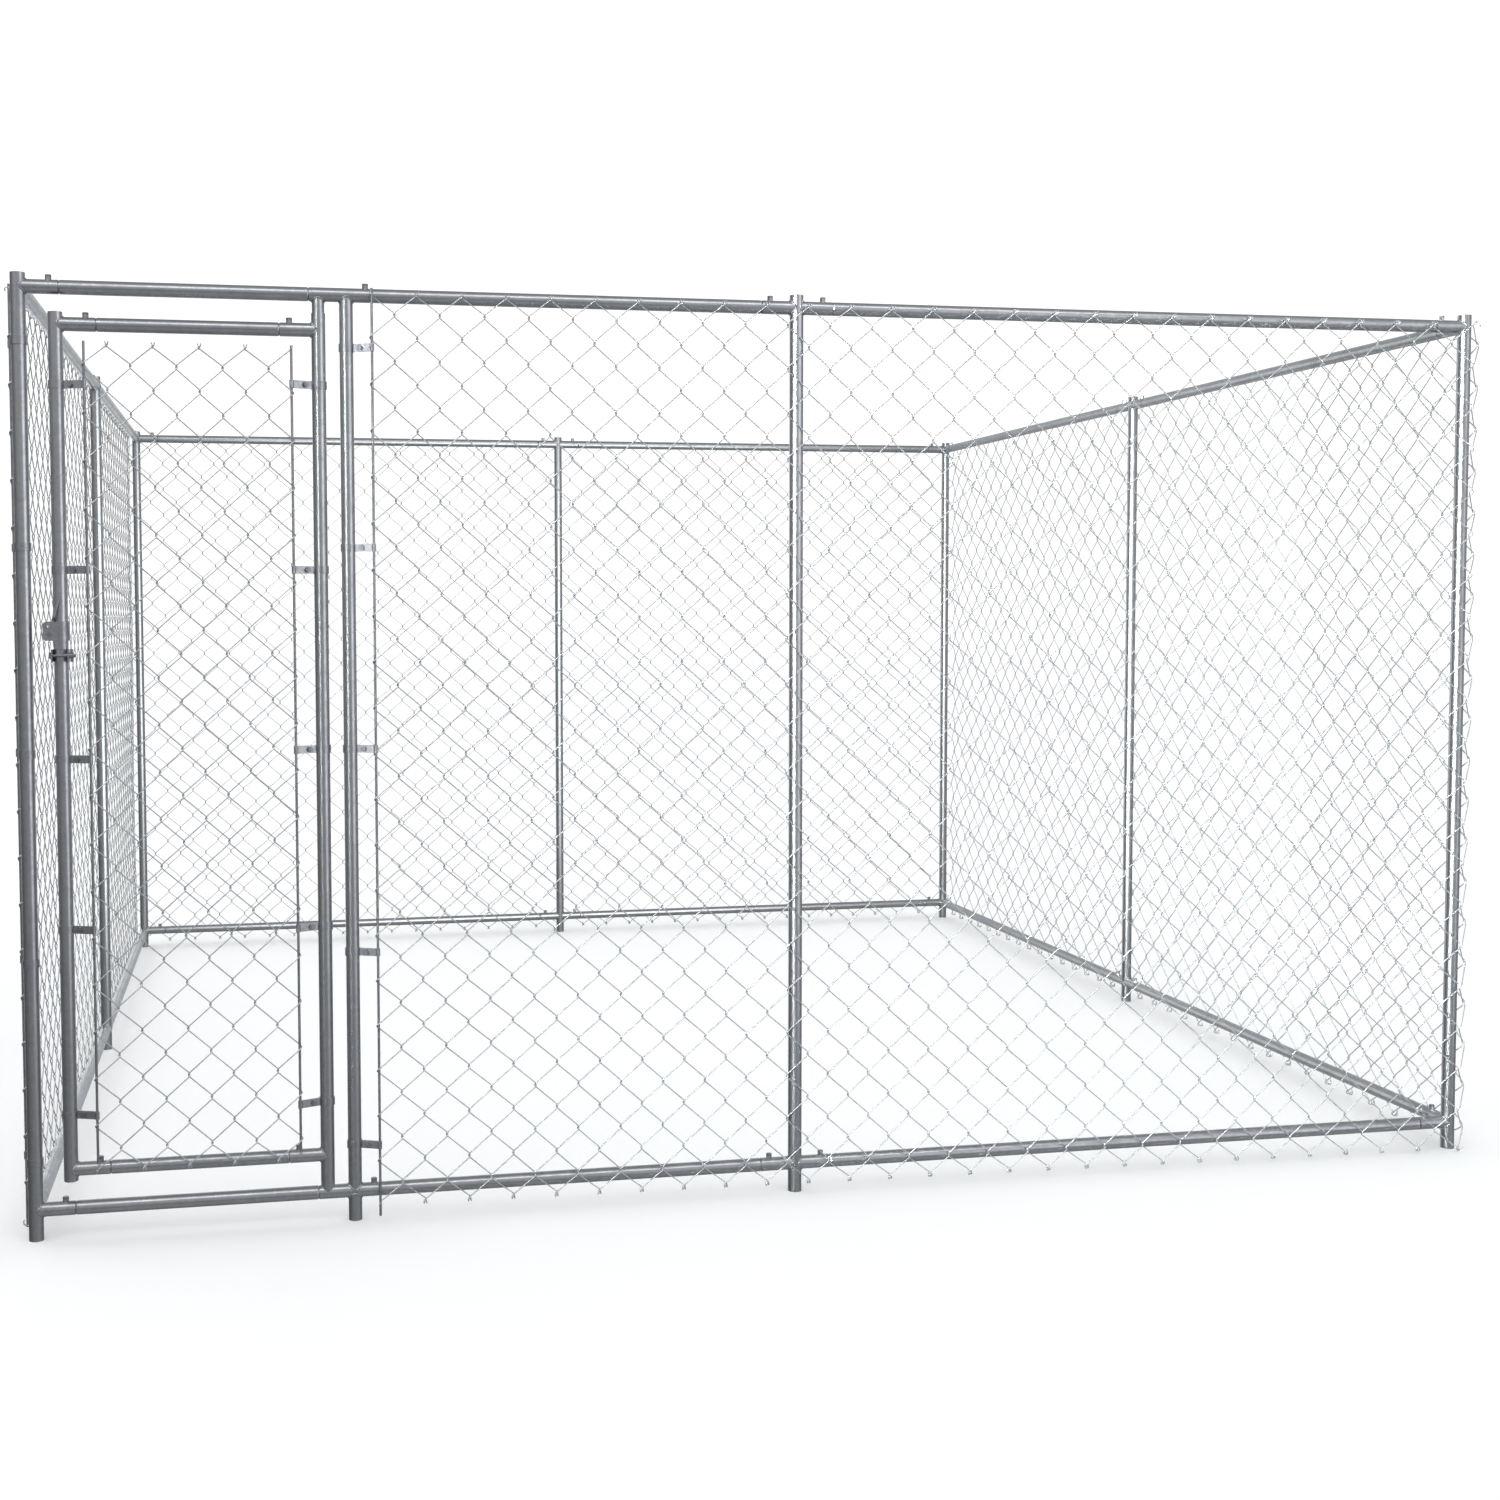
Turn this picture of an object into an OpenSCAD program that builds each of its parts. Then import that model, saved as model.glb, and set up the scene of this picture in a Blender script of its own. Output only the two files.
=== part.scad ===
// Outdoor dog kennel run: a galvanised tube frame of posts and swaged rails, open at the top,
// wrapped in one roll of chain-link wire, with a narrow hinged gate that a fork latch holds.
// Millimetres, Z up, the ground at z = 0, the front with the gate towards -Y.

/* [Run] */
// distance between the corner post axes along the front
run_w = 3010; // [2200:10:4000]
// distance between the corner post axes from front to back
run_d = 3010; // [2000:10:4000]
// height of the posts
run_h = 1830; // [1500:10:2400]
// height of the bottom rail axis above the ground
rail_low = 58; // [45:1:120]
// drop of the top rail axis below the post tops
rail_drop = 25; // [18:1:60]

/* [Tube] */
// outside diameter of the posts
post_od = 28; // [25:0.5:42]
// outside diameter of the rails and of the sockets that take them
rail_od = 27; // [24:0.5:40]
// outside diameter of the post that carries the gate
hinge_post_od = 26.5; // [22:0.5:40]
// wall of every tube
tube_wall = 1.5; // [1:0.1:2.5]

/* [Sockets] */
// reach of a welded socket from its post axis
socket_reach = 73; // [65:1:110]
// solid web left between a post and its socket's bore
socket_floor = 3; // [2:0.5:6]
// length of a rail's swaged end inside its socket
swage_len = 36; // [25:1:40]
// radial play of a swaged end in its socket
swage_play = 0.3; // [0.1:0.05:0.6]
// length of the cone between a rail and its swaged end
swage_taper = 3; // [1:0.5:8]
// gap left at the mouth of each socket
joint_gap = 0.3; // [0.1:0.1:1]

/* [Set bolts] */
// thread diameter of the set bolts
bolt_d = 6; // [4:0.5:8]
// radial play of a bolt in its hole
bolt_play = 0.2; // [0.1:0.05:0.5]
// size across the flats of bolt heads and nuts
bolt_flats = 10; // [8:0.5:14]
// height of a bolt head
head_h = 4; // [3:0.5:6]
// height of a nut
nut_h = 5; // [3:0.5:8]
// distance of a set bolt from the mouth of its socket
bolt_setback = 18; // [10:1:22]

/* [Gate] */
// distance from the corner post axis to the latch stile axis
gate_gap = 66; // [60:1:90]
// distance between the two stile axes
gate_w = 486; // [420:1:900]
// distance from the hinge axis to the hinge post axis
hinge_gap = 53; // [48:1:80]
// outside diameter of the gate's tubes
gate_od = 27; // [25:0.5:34]
// drop of the gate's top rail axis below the header axis
gate_top_drop = 68; // [62:1:120]
// rise of the gate's bottom rail axis above the threshold axis
gate_low_rise = 75; // [60:1:160]
// how far the latch stile runs past the gate's rails
stile_over = 22; // [18:1:40]
// drop of the hinge stile's top end below the header axis
stile_top_drop = 36; // [30:1:45]
// rise of the hinge stile's lower end above the threshold axis
stile_low_rise = 18; // [16.5:0.5:30]
// length of a hinge spigot inside the stile
spigot_len = 50; // [30:1:80]
// radial running play of a spigot in the stile
spigot_play = 0.05; // [0.02:0.01:0.1]
// how far the hinge sleeves run past the hinge axis
sleeve_over = 17; // [15:1:30]
// reach of the hinge sleeves past the hinge post axis
sleeve_reach = 46; // [40:1:70]

/* [Chain link] */
// width of a diamond
diamond_w = 88; // [60:1:140]
// height of a diamond
diamond_h = 90; // [60:1:140]
// wire diameter
wire_d = 2.5; // [1.8:0.1:4]
// gap between two wires where they cross
wire_play = 0.3; // [0.2:0.1:1]
// how far two wires reach past each other where they hook
hook_lap = 5; // [3:0.5:8]
// gap between the roll and the posts
net_play = 0.3; // [0.1:0.1:0.8]
// height of the roll's lower tips above the ground
net_foot = 10; // [4:1:40]
// height of the roll's upper tips above the top rail axis
net_over = 7; // [0:1:15]
// drop of the gate panel's upper tips below the gate's top rail axis
gate_net_drop = 33; // [20:1:80]
// drop of the gate panel's lower tips below the gate's bottom rail axis
gate_net_low = 5; // [0:1:14]

/* [Tension rods and bands] */
// diameter of the tension rods
rod_d = 5; // [4:0.5:8]
// distance along the net from a post axis to the roll's end rod
rod_reach = 48; // [40:1:70]
// distance along the net from a stile axis to the gate's end rod
gate_rod_reach = 52; // [40:1:70]
// drop of the gate's rods below the gate's top rail axis
gate_rod_drop = 33; // [20:1:60]
// rise of the gate's rods above the gate's bottom rail axis
gate_rod_rise = 14; // [0:1:60]
// height of a band
band_h = 15; // [10:1:25]
// thickness of a band's strap
band_t = 1.5; // [1:0.1:2.5]
// play of a band round its tube and rod
band_play = 0.3; // [0.1:0.1:0.6]
// gap between a band's two pinched ears
ear_gap = 0.8; // [0.4:0.1:2]
// number of bands on each rod
band_count = 5; // [2:1:8]
// drop of the roll's first band below the top rail axis
band_first = 94; // [60:1:200]
// rise of the roll's last band above the bottom rail axis
band_last = 93; // [60:1:200]
// drop of the gate's first band below the gate's top rail axis
gate_band_first = 113; // [60:1:200]
// rise of the gate's last band above the gate's bottom rail axis
gate_band_last = 107; // [60:1:200]
// distance of a band's bolt from its tube axis
band_bolt_reach = 28; // [25:1:34]

/* [Latch] */
// drop of the fork's pivot below the second band on its stile
latch_drop = 121; // [60:1:200]
// distance of the pivot from the latch stile axis
pivot_reach = 20; // [19:0.5:24]
// pivot pin diameter
pivot_d = 6; // [5:0.5:7]
// radial running play of the fork on its pin
pivot_play = 0.05; // [0.02:0.01:0.1]
// how much wider the pin's heads are than the pin
pivot_head = 3; // [2:0.5:5]
// thickness of the latch's plate and clamp
plate_t = 2.5; // [1.5:0.1:3]
// radius of the lobe's corners
lobe_r = 7; // [3:0.5:9]
// height of the plate above the pivot
plate_up = 24; // [22:0.5:26]
// depth of the plate below the pivot
plate_down = 12; // [10:0.5:16]
// depth of the plate's neck below the pivot
neck_down = 28; // [24:1:34]
// half width of the neck
neck_half = 10; // [6:0.5:12]
// padlock hole diameter
lock_d = 7; // [5:0.5:8]
// distance of the padlock hole from the pivot, towards the corner post
lock_shift = 4.5; // [4:0.5:6]
// height of the padlock hole above the pivot
lock_rise = 15; // [13:0.5:17]
// diameter of the fork's prongs
prong_d = 5; // [4:0.5:6]
// length of a prong from the pivot
prong_len = 82; // [76:1:100]
// distance from the pivot to the bend in a prong
prong_bend = 28.5; // [28:0.5:30]
// length of a prong's bend
bend_len = 6; // [5:0.5:8]
// distance of a prong's root from the fork's middle plane
prong_root = 10; // [9:0.5:10.5]
// play between a prong and the corner post
prong_play = 1.2; // [0.8:0.1:3]
// turn of the raised fork above the horizontal, leaning back over the stile
fork_raise = 106; // [104:1:110]
// height of the clamp
clamp_h = 23; // [16:1:30]
// reach of the clamp's legs in front of the stile axis
clamp_reach = 26; // [24:1:32]
// length of the wing nut's hub
wing_hub = 9; // [6:0.5:14]
// length of the clamp bolt that stands out of the wing nut
bolt_tail = 3; // [1:0.5:8]
// width of the wings along the bolt
wing_w = 4.5; // [3:0.5:6]
// span of the wing nut
wing_span = 24; // [16:1:32]

/* [Hidden] */
$fn = 48;
eps = 0.01;
past = 1;
z_top = run_h - rail_drop;
z_low = rail_low;
xl = -run_w / 2;
xr = run_w / 2;
yf = -run_d / 2;
yb = run_d / 2;
post_r = post_od / 2;
rail_r = rail_od / 2;
gate_r = gate_od / 2;
rod_r = rod_d / 2;
bolt_r = bolt_d / 2;
hex_d = bolt_flats / cos(30);
nut_sink = rail_r - sqrt(rail_r * rail_r - hex_d * hex_d / 4) + past;
stile_x = xl + gate_gap;
hinge_x = stile_x + gate_w;
hpost_x = hinge_x + hinge_gap;
gate_top = z_top - gate_top_drop;
gate_low = z_low + gate_low_rise;
stile_top = z_top - stile_top_drop;
stile_low = z_low + stile_low_rise;
spigot_r = gate_r - tube_wall - spigot_play;
sleeve_l = hinge_gap + sleeve_over;
// plan offsets of the wire layers and of the rods, measured outwards from the post axes
net_back = post_r + net_play;
layer_step = wire_d + wire_play;
rod_out = net_back + layer_step + rod_r;
end_rod_out = rod_out + layer_step;
half_h = diamond_h / 2;
half_w = diamond_w / 2;
wire_half = wire_d / 2 * sqrt(half_h * half_h + pow(half_w + hook_lap, 2)) / half_h;
corner_out = net_back - wire_play - hook_lap / 2 - wire_half;
net_h = z_top + net_over - net_foot;
net_rows = round(net_h / half_h);
net_row = net_h / net_rows;
gate_net_z = gate_low - gate_net_low;
gate_net_h = gate_top - gate_net_drop - gate_net_z;
gate_rows = round(gate_net_h / half_h);
gate_row = gate_net_h / gate_rows;
front_len = xr + corner_out - hpost_x - rod_reach;
side_len = run_d + 2 * corner_out;
back_len = run_w + 2 * corner_out;
left_len = run_d + corner_out - rod_reach;
gate_len = gate_w - 2 * gate_rod_reach;
loop_r = rod_r + band_play;
// a band keeps this far from the bends of the wire that hooks on its rod
tip_keep = band_h / 2 + (loop_r + band_t + wire_play + hook_lap / 2 + wire_half) * half_h / half_w + past;
plate_in = gate_r + band_play;
plate_out = plate_in + plate_t;
hub_r = pivot_reach - gate_r - band_play * 2;
hub_half = plate_in - band_play;
lobe_reach = pivot_reach + lock_shift + lobe_r;
prong_r = prong_d / 2;
prong_y = post_r + prong_play + prong_r;
clamp_top = -neck_down - band_play;
clamp_mid = clamp_top - clamp_h / 2;
clamp_bolt_y = -(gate_r + band_play + bolt_r + bolt_play);
steel = [0.66, 0.68, 0.7];
wire_grey = [0.72, 0.74, 0.76];
bolt_grey = [0.55, 0.57, 0.6];

function snap(z, base, step) =
  let (d = (z - base) - step * floor((z - base) / step))
  z + max(0, tip_keep - d) - max(0, d - (step - tip_keep));
// an even number, so that the roll's tips and hooks meet at its corners
function wires(len) = 2 * max(2, round(len / diamond_w));
function odd_wires(len) = 2 * floor(len / half_w / 2 + 0.5 - eps) + 1;
// the outline of one zigzag wire between two lines of hooks
function zigzag(a, b, z, row, rows, first) = concat(
  [for (j = [0:rows]) [((j + first) % 2 == 0 ? a : b) - wire_half, z + j * row]],
  [for (j = [rows:-1:0]) [((j + first) % 2 == 0 ? a : b) + wire_half, z + j * row]]
);
function band_zs(first, last, base, step) = [
  for (k = [0:band_count - 1]) snap(first + (last - first) * k / (band_count - 1), base, step)
];
roll_zs = band_zs(z_top - band_first, z_low + band_last, net_foot, net_row * 2);
function gate_zs(base) = band_zs(gate_top - gate_band_first, gate_low + gate_band_last, base, gate_row * 2);
latch_zs = gate_zs(gate_net_z);
// the gate has an odd number of wires, so its last one hooks a row higher than its first
hinge_zs = gate_zs(gate_net_z + gate_row);
latch_z = latch_zs[1] - latch_drop;

// every post: place and the directions of its sockets
FL = [xl, yf, [0, 90]];
FM = [0, yf, [0, 180]];
FR = [xr, yf, [90, 180]];
RM = [xr, 0, [90, 270]];
BR = [xr, yb, [180, 270]];
BM = [0, yb, [0, 180]];
BL = [xl, yb, [0, 270]];
LM = [xl, 0, [90, 270]];
POSTS = [FL, FM, FR, RM, BR, BM, BL, LM];

module hex(h) {
  cylinder(d = hex_d, h = h, $fn = 6);
}

// a welded socket along +X with its nut, seen from its post axis
module socket_body(r) {
  rotate([0, 90, 0]) cylinder(r = r, h = socket_reach);
  translate([socket_reach - bolt_setback, 0, r - nut_sink]) hex(nut_h + nut_sink);
}

module socket_bore(r, from) {
  translate([from, 0, 0]) rotate([0, 90, 0]) cylinder(r = r - tube_wall, h = socket_reach);
  translate([socket_reach - bolt_setback, 0, 0]) cylinder(r = bolt_r + bolt_play, h = r + nut_h + past);
}

module post(p) {
  color(steel) translate([p[0], p[1], 0]) difference() {
    union() {
      cylinder(d = post_od, h = run_h);
      for (z = [z_low, z_top]) for (a = p[2]) translate([0, 0, z]) rotate([0, 0, a]) socket_body(rail_r);
    }
    translate([0, 0, -past]) cylinder(d = post_od - 2 * tube_wall, h = run_h + 2 * past);
    for (z = [z_low, z_top]) for (a = p[2]) translate([0, 0, z]) rotate([0, 0, a])
      socket_bore(rail_r, post_r + socket_floor);
  }
}

// sleeves for the rails are welded to this post, and the hinge spigots to the sleeves
module hinge_post() {
  color(steel) translate([hpost_x, yf, 0]) difference() {
    union() {
      cylinder(d = hinge_post_od, h = z_top);
      for (z = [z_low, z_top]) translate([0, 0, z]) {
        translate([-sleeve_l, 0, 0]) rotate([0, 90, 0]) cylinder(r = rail_r, h = sleeve_l + sleeve_reach);
        translate([sleeve_reach - bolt_setback / 2, 0, rail_r - nut_sink]) hex(nut_h + nut_sink);
      }
      translate([-hinge_gap, 0, stile_top - spigot_len])
        cylinder(r = spigot_r, h = z_top - stile_top + spigot_len);
      translate([-hinge_gap, 0, z_low]) cylinder(r = spigot_r, h = stile_low_rise + spigot_len);
      translate([-hinge_gap, 0, z_low]) cylinder(r = gate_r - joint_gap, h = stile_low_rise - joint_gap);
    }
    translate([0, 0, -past])
      cylinder(d = hinge_post_od - 2 * tube_wall, h = z_low - rail_r - socket_floor + past);
    translate([0, 0, z_low + rail_r + socket_floor])
      cylinder(d = hinge_post_od - 2 * tube_wall, h = z_top - z_low - rail_r - socket_floor);
    for (z = [z_low, z_top]) translate([0, 0, z]) {
      translate([-sleeve_l - past, 0, 0]) rotate([0, 90, 0])
        cylinder(r = rail_r - tube_wall, h = sleeve_l + sleeve_reach + 2 * past);
      translate([sleeve_reach - bolt_setback / 2, 0, 0])
        cylinder(r = bolt_r + bolt_play, h = rail_r + nut_h + past);
    }
    translate([-hinge_gap, 0, stile_top - spigot_len - past])
      cylinder(r = spigot_r - tube_wall, h = z_top - rail_r - socket_floor - stile_top + spigot_len + past);
    translate([-hinge_gap, 0, z_low + rail_r + socket_floor])
      cylinder(r = spigot_r - tube_wall, h = stile_low_rise + spigot_len);
  }
}

// a tube along +X whose swaged ends go into the sockets; len runs from shoulder to shoulder
module swaged(len, r) {
  s = r - tube_wall - swage_play;
  i = s - tube_wall;
  t = swage_taper;
  color(steel) rotate([90, 0, 90]) rotate_extrude() polygon([
    [i, -swage_len], [s, -swage_len], [s, 0], [r, t], [r, len - t], [s, len], [s, len + swage_len],
    [i, len + swage_len], [i, len], [r - tube_wall, len - t], [r - tube_wall, t], [i, 0]
  ]);
}

// a rail between two points on one line of posts, cut back to the sockets at its ends
module rail(p, q, a, z, from, to) {
  len = abs(q[0] - p[0]) + abs(q[1] - p[1]) - from - to - 2 * joint_gap;
  translate([p[0], p[1], z]) rotate([0, 0, a]) translate([from + joint_gap, 0, 0]) swaged(len, rail_r);
}

module post_front_left() post(FL);
module post_front_mid() post(FM);
module post_front_right() post(FR);
module post_right_mid() post(RM);
module post_back_right() post(BR);
module post_back_mid() post(BM);
module post_back_left() post(BL);
module post_left_mid() post(LM);

HP = [hpost_x, yf];
module rail_header() rail(FL, HP, 0, z_top, socket_reach, sleeve_l);
module rail_threshold() rail(FL, HP, 0, z_low, socket_reach, sleeve_l);
module rail_front_top_1() rail(HP, FM, 0, z_top, sleeve_reach, socket_reach);
module rail_front_top_2() rail(FM, FR, 0, z_top, socket_reach, socket_reach);
module rail_front_low_1() rail(HP, FM, 0, z_low, sleeve_reach, socket_reach);
module rail_front_low_2() rail(FM, FR, 0, z_low, socket_reach, socket_reach);
module rail_right_top_1() rail(FR, RM, 90, z_top, socket_reach, socket_reach);
module rail_right_top_2() rail(RM, BR, 90, z_top, socket_reach, socket_reach);
module rail_right_low_1() rail(FR, RM, 90, z_low, socket_reach, socket_reach);
module rail_right_low_2() rail(RM, BR, 90, z_low, socket_reach, socket_reach);
module rail_back_top_1() rail(BR, BM, 180, z_top, socket_reach, socket_reach);
module rail_back_top_2() rail(BM, BL, 180, z_top, socket_reach, socket_reach);
module rail_back_low_1() rail(BR, BM, 180, z_low, socket_reach, socket_reach);
module rail_back_low_2() rail(BM, BL, 180, z_low, socket_reach, socket_reach);
module rail_left_top_1() rail(BL, LM, 270, z_top, socket_reach, socket_reach);
module rail_left_top_2() rail(LM, FL, 270, z_top, socket_reach, socket_reach);
module rail_left_low_1() rail(BL, LM, 270, z_low, socket_reach, socket_reach);
module rail_left_low_2() rail(LM, FL, 270, z_low, socket_reach, socket_reach);

// a set bolt stands in a socket's nut and presses on the swaged end below
module set_bolt(r) {
  translate([0, 0, r - tube_wall - swage_play + bolt_play])
    cylinder(r = bolt_r, h = tube_wall + nut_h + head_h);
  translate([0, 0, r + nut_h]) hex(head_h);
}

module set_bolts() {
  color(bolt_grey) {
    for (p = POSTS) for (z = [z_low, z_top]) for (a = p[2])
      translate([p[0], p[1], z]) rotate([0, 0, a])
        translate([socket_reach - bolt_setback, 0, 0]) set_bolt(rail_r);
    for (z = [z_low, z_top])
      translate([hpost_x + sleeve_reach - bolt_setback / 2, yf, z]) set_bolt(rail_r);
  }
}

// one chain-link panel along +X, facing -Y, its back at y = 0; every other wire lies in the front layer
module net(len, n, z, row, rows) {
  p = len / n;
  color(wire_grey) for (i = [0:n - 1])
    translate([0, -layer_step * (i % 2), 0]) rotate([90, 0, 0]) linear_extrude(wire_d)
      polygon(zigzag(i * p - hook_lap / 2, (i + 1) * p + hook_lap / 2, z, row, rows, i % 2));
}

module net_front() {
  translate([hpost_x + rod_reach, yf - net_back, 0])
    net(front_len, wires(front_len), net_foot, net_row, net_rows);
}

// the same diamonds on the sides away from the gate, drawn with fewer faces: each run of legs that
// lies on one slant is one straight wire, all one slant in the front layer and the other in the back
function slant(i, j, s, p, z, row, n, rows) =
  let (run = min(s > 0 ? n - i : i, rows - j), a = i * p, b = (i + s * run) * p, t = z + (j + run) * row)
  [[a - wire_half, z + j * row], [a + wire_half, z + j * row], [b + wire_half, t], [b - wire_half, t]];

module lattice(len, n, z, row, rows) {
  p = len / n;
  foot = [for (i = [0:2:n]) [i, 0]];
  color(wire_grey) {
    for (c = concat(foot, [for (j = [2:2:rows - 1]) [0, j]])) if (c[0] < n)
      translate([0, -layer_step, 0]) rotate([90, 0, 0]) linear_extrude(wire_d)
        polygon(slant(c[0], c[1], 1, p, z, row, n, rows));
    for (c = concat(foot, [for (j = [2 - n % 2:2:rows - 1]) [n, j]])) if (c[0] > 0)
      rotate([90, 0, 0]) linear_extrude(wire_d) polygon(slant(c[0], c[1], -1, p, z, row, n, rows));
  }
}

module net_right() {
  translate([xr + net_back, yf - corner_out, 0]) rotate([0, 0, 90])
    lattice(side_len, wires(side_len), net_foot, net_row, net_rows);
}

module net_back_side() {
  translate([xr + corner_out, yb + net_back, 0]) rotate([0, 0, 180])
    lattice(back_len, wires(back_len), net_foot, net_row, net_rows);
}

module net_left() {
  translate([xl - net_back, yb + corner_out, 0]) rotate([0, 0, 270])
    lattice(left_len, wires(left_len), net_foot, net_row, net_rows);
}

module rod(x, y, z0, z1) {
  color(steel) translate([x, y, z0]) cylinder(d = rod_d, h = z1 - z0);
}

module rod_front() rod(hpost_x + rod_reach, yf - rod_out, net_foot, z_top + net_over + rod_d);
module rod_left() rod(xl - end_rod_out, yf + rod_reach, net_foot, z_top + net_over + rod_d);

// a band round a tube of radius r along +X to a rod, pinched between them by a bolt
module band(r, reach) {
  ring = r + band_play;
  difference() {
    translate([0, 0, -band_h / 2]) linear_extrude(band_h) difference() {
      union() {
        circle(r = ring + band_t);
        translate([0, -ear_gap / 2 - band_t]) square([reach, ear_gap + 2 * band_t]);
        translate([reach, 0]) circle(r = loop_r + band_t);
      }
      circle(r = ring);
      translate([0, -ear_gap / 2]) square([reach, ear_gap]);
      translate([reach, 0]) circle(r = loop_r);
    }
    translate([band_bolt_reach, past + ear_gap + band_t, 0]) rotate([90, 0, 0])
      cylinder(r = bolt_r + bolt_play, h = 2 * (past + ear_gap + band_t));
  }
}

module band_bolt() {
  w = ear_gap / 2 + band_t;
  translate([band_bolt_reach, 0, 0]) rotate([90, 0, 0]) {
    translate([0, 0, -w - nut_h - past]) cylinder(r = bolt_r, h = 2 * w + nut_h + head_h + past);
    translate([0, 0, w]) hex(head_h);
    translate([0, 0, -w - nut_h]) hex(nut_h);
  }
}

// places a band from a tube axis towards a rod, both given in plan
module towards(x, y, dx, dy, zs) {
  for (z = zs) translate([x, y, z]) rotate([0, 0, atan2(dy, dx)]) children();
}

function far(dx, dy) = sqrt(dx * dx + dy * dy);

module roll_bands_start(bolts) {
  towards(hpost_x, yf, rod_reach, -rod_out, roll_zs) {
    if (bolts) band_bolt();
    else band(hinge_post_od / 2, far(rod_reach, rod_out));
  }
}

module roll_bands_end(bolts) {
  towards(xl, yf, -end_rod_out, rod_reach, roll_zs) {
    if (bolts) band_bolt();
    else band(post_r, far(rod_reach, end_rod_out));
  }
}

module gate_bands(x, side, zs, bolts) {
  towards(x, yf, side * gate_rod_reach, -rod_out, zs) {
    if (bolts) band_bolt();
    else band(gate_r, far(gate_rod_reach, rod_out));
  }
}

module bands_front() color(steel) roll_bands_start(false);
module bands_left() color(steel) roll_bands_end(false);
module band_bolts() {
  color(bolt_grey) {
    roll_bands_start(true);
    roll_bands_end(true);
  }
}

// a gate stile: an upright tube with a socket towards the other stile at each rail
module stile(x, z0, z1, a) {
  color(steel) translate([x, yf, 0]) difference() {
    union() {
      translate([0, 0, z0]) cylinder(r = gate_r, h = z1 - z0);
      for (z = [gate_low, gate_top]) translate([0, 0, z]) rotate([0, 0, a]) socket_body(gate_r - joint_gap);
    }
    translate([0, 0, z0 - past]) cylinder(r = gate_r - tube_wall, h = z1 - z0 + 2 * past);
    for (z = [gate_low, gate_top]) translate([0, 0, z]) rotate([0, 0, a])
      socket_bore(gate_r - joint_gap, gate_r + socket_floor);
  }
}

module gate_rail(z) {
  translate([stile_x + socket_reach + joint_gap, yf, z])
    swaged(gate_w - 2 * socket_reach - 2 * joint_gap, gate_r - joint_gap);
}

module gate_stile_latch() stile(stile_x, gate_low - stile_over, gate_top + stile_over, 0);
module gate_stile_hinge() stile(hinge_x, stile_low, stile_top, 180);
module gate_rail_top() gate_rail(gate_top);
module gate_rail_low() gate_rail(gate_low);

module gate_bolts() {
  color(bolt_grey) for (z = [gate_low, gate_top]) for (x = [stile_x, hinge_x])
    translate([x + (x == stile_x ? 1 : -1) * (socket_reach - bolt_setback), yf, z])
      set_bolt(gate_r - joint_gap);
}

module gate_net() {
  translate([stile_x + gate_rod_reach, yf - net_back, 0])
    net(gate_len, odd_wires(gate_len), gate_net_z, gate_row, gate_rows);
}

module gate_rod(x) rod(x, yf - rod_out, gate_low + gate_rod_rise, gate_top - gate_rod_drop);
module gate_rod_latch() gate_rod(stile_x + gate_rod_reach);
module gate_rod_hinge() gate_rod(hinge_x - gate_rod_reach);
module gate_bands_latch() color(steel) gate_bands(stile_x, 1, latch_zs, false);
module gate_bands_hinge() color(steel) gate_bands(hinge_x, -1, hinge_zs, false);
module gate_band_bolts() {
  color(bolt_grey) {
    gate_bands(stile_x, 1, latch_zs, true);
    gate_bands(hinge_x, -1, hinge_zs, true);
  }
}

module at_latch() translate([stile_x, yf, latch_z]) children();

// sheet folded round the stile, open towards -X, with legs of a given reach
module folded(reach) {
  difference() {
    union() {
      circle(r = plate_out);
      translate([-reach, -plate_out]) square([reach, 2 * plate_out]);
    }
    circle(r = plate_in);
    translate([-reach - past, -plate_in]) square([reach + past, 2 * plate_in]);
  }
}

module plate_outline() {
  top = plate_up - lobe_r;
  low = lobe_r - plate_down;
  in = lobe_r - lobe_reach;
  translate([in, -plate_down]) square([plate_out - in + past, plate_up + plate_down]);
  translate([-lobe_reach, low]) square([lobe_reach, top - low]);
  translate([in, top]) circle(r = lobe_r);
  translate([in, low]) circle(r = lobe_r);
  translate([-neck_half, -neck_down]) square([2 * neck_half, neck_down]);
}

module across(x, z, r) {
  translate([x, plate_out + past, z]) rotate([90, 0, 0]) cylinder(r = r, h = 2 * (plate_out + past));
}

module latch_plate() {
  color(bolt_grey) at_latch() difference() {
    intersection() {
      translate([0, 0, -neck_down]) linear_extrude(plate_up + neck_down) folded(lobe_reach);
      translate([0, plate_out + past, 0]) rotate([90, 0, 0])
        linear_extrude(2 * (plate_out + past)) plate_outline();
    }
    across(-pivot_reach, 0, pivot_d / 2 + bolt_play);
    across(-pivot_reach - lock_shift, lock_rise, lock_d / 2);
  }
}

module latch_pin() {
  color(steel) at_latch() translate([-pivot_reach, 0, 0]) rotate([90, 0, 0]) {
    translate([0, 0, -plate_out]) cylinder(d = pivot_d, h = 2 * plate_out);
    translate([0, 0, plate_out]) cylinder(d = pivot_d + pivot_head, h = plate_t);
    translate([0, 0, -plate_out - plate_t]) cylinder(d = pivot_d + pivot_head, h = plate_t);
  }
}

// a prong along +X from the pivot, bent outwards to pass beside the corner post
module prong() {
  d = prong_y - prong_root;
  translate([0, prong_root, 0]) rotate([0, 90, 0]) cylinder(r = prong_r, h = prong_bend);
  translate([prong_bend, prong_root, 0]) sphere(r = prong_r + eps);
  translate([prong_bend, prong_root, 0]) rotate([0, 90, atan2(d, bend_len)])
    cylinder(r = prong_r, h = far(d, bend_len));
  translate([prong_bend + bend_len, prong_y, 0]) sphere(r = prong_r + eps);
  translate([prong_bend + bend_len, prong_y, 0]) rotate([0, 90, 0])
    cylinder(r = prong_r, h = prong_len - prong_bend - bend_len);
}

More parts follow.
